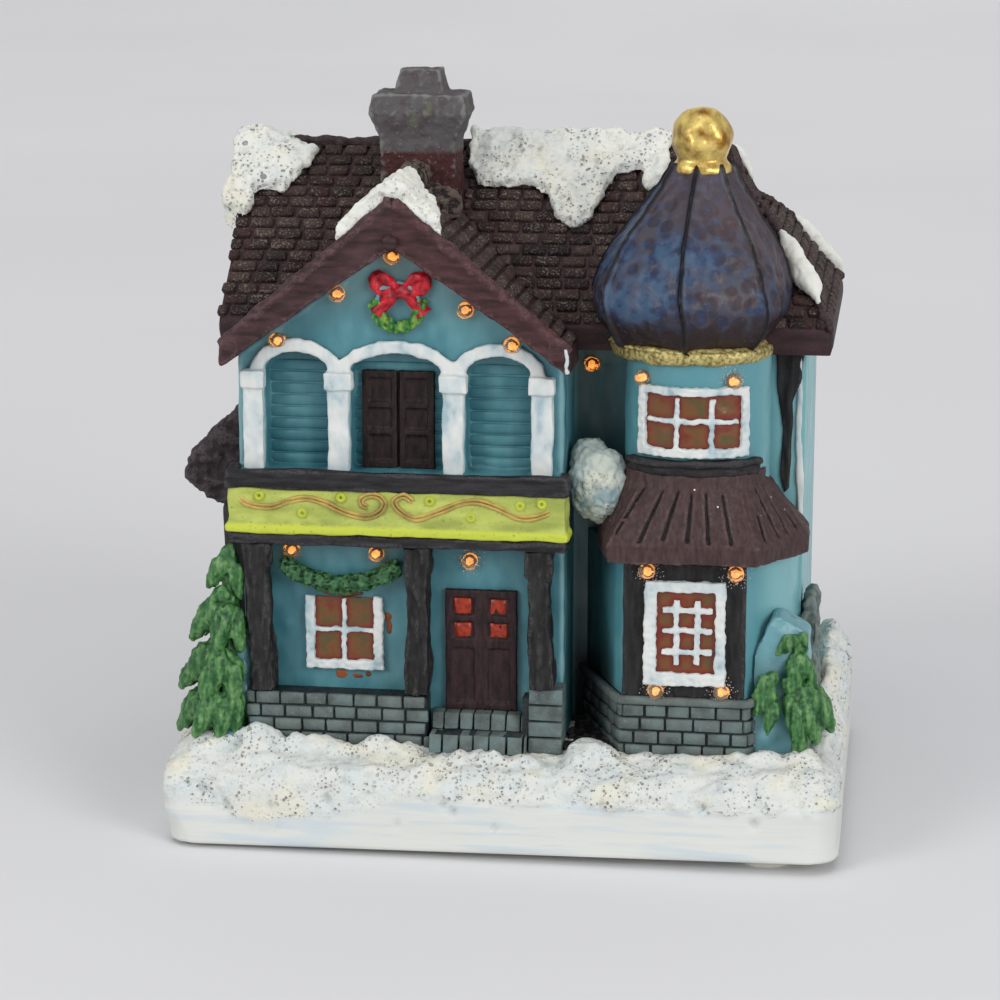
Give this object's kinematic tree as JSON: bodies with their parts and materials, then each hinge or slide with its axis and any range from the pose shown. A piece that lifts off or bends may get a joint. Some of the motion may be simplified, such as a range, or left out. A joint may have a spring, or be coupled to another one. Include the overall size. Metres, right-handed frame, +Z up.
{
  "type": "christmas village house",
  "caption": "Lit resin village house on a snow base: gable wing with balcony, domed corner tower, optical fibre light points and a battery box with door and switch in the underside.",
  "frame": {"origin": "on the table under the middle of the whole object, at the undersides of the feet", "axes": "+Z up, the street front with balcony and tower faces -Y, the domed tower stands towards +X"},
  "size_m": [0.1105, 0.084, 0.1246],
  "materials": {
    "snow": "matte",
    "wall": "satin",
    "shingle": "satin",
    "board": "satin",
    "stonework": "matte",
    "trim_white": "satin",
    "trim_black": "satin",
    "door": "satin",
    "dome": "satin",
    "gold": "gloss",
    "panel": "satin",
    "leaf": "satin",
    "ribbon": "satin",
    "cover": "matte",
    "box": "satin",
    "rubber": "matte",
    "cell": "gloss",
    "steel": "satin",
    "led": "gloss",
    "fibre": "gloss",
    "wire_red": "satin",
    "wire_black": "satin"
  },
  "bodies": {
    "house": {"snow_base": "snow", "house_walls": "wall", "tower": "wall", "side_bay": "board", "wing_plinth": "stonework", "steps": "stonework", "tower_plinth": "stonework", "main_roof": "shingle", "gable_roof": "board", "lean_to_roof": "shingle", "bay_roof": "board", "chimney": "stonework", "dome_ring": "gold", "dome": "dome", "finial_ball": "gold", "sill_band": "trim_black", "arcade": "trim_white", "upper_door": "door", "front_door": "door", "balcony_panel": "panel", "balcony_rail": "trim_black", "porch_beam": "trim_black", "post_left": "trim_black", "post_middle": "trim_black", "post_right": "trim_black", "porch_window": "trim_white", "tower_window": "trim_white", "bay_surround": "trim_black", "bay_window": "trim_white", "garland": "leaf", "wreath": "leaf", "bow": "ribbon", "pine_left": "leaf", "pine_right": "leaf", "snow_ridge_left": "snow", "snow_ridge_right": "snow", "snow_gable": "snow", "snow_drift": "snow", "bottom_cover": "cover", "battery_box": "box", "foot_front_left": "rubber", "foot_front_right": "rubber", "foot_back_left": "rubber", "foot_back_right": "rubber", "cell_1": "cell", "cell_2": "cell", "cell_3": "cell", "contact_left_link": "steel", "contact_left_end": "steel", "contact_right_end": "steel", "contact_right_link": "steel", "lamp": "led", "fibre_bundle": "fibre", "switch_body": "box", "wire_red": "wire_red", "wire_lamp": "wire_red", "wire_black": "wire_black"},
    "battery_lid": {"battery_door": "cover", "door_screw": "steel"},
    "switch_knob": {"switch_slider": "box"}
  },
  "joints": [
    {"name": "battery_door_hinge", "type": "hinge", "parent": "house", "child": "battery_lid", "pos_m": [-0.0113, 0.01, 0.0035], "axis": [0, 1, 0], "range_deg": [0, 90]},
    {"name": "switch_slide", "type": "slide", "parent": "house", "child": "switch_knob", "axis": [1, 0, 0], "range_m": [0, 0.003]}
  ]
}
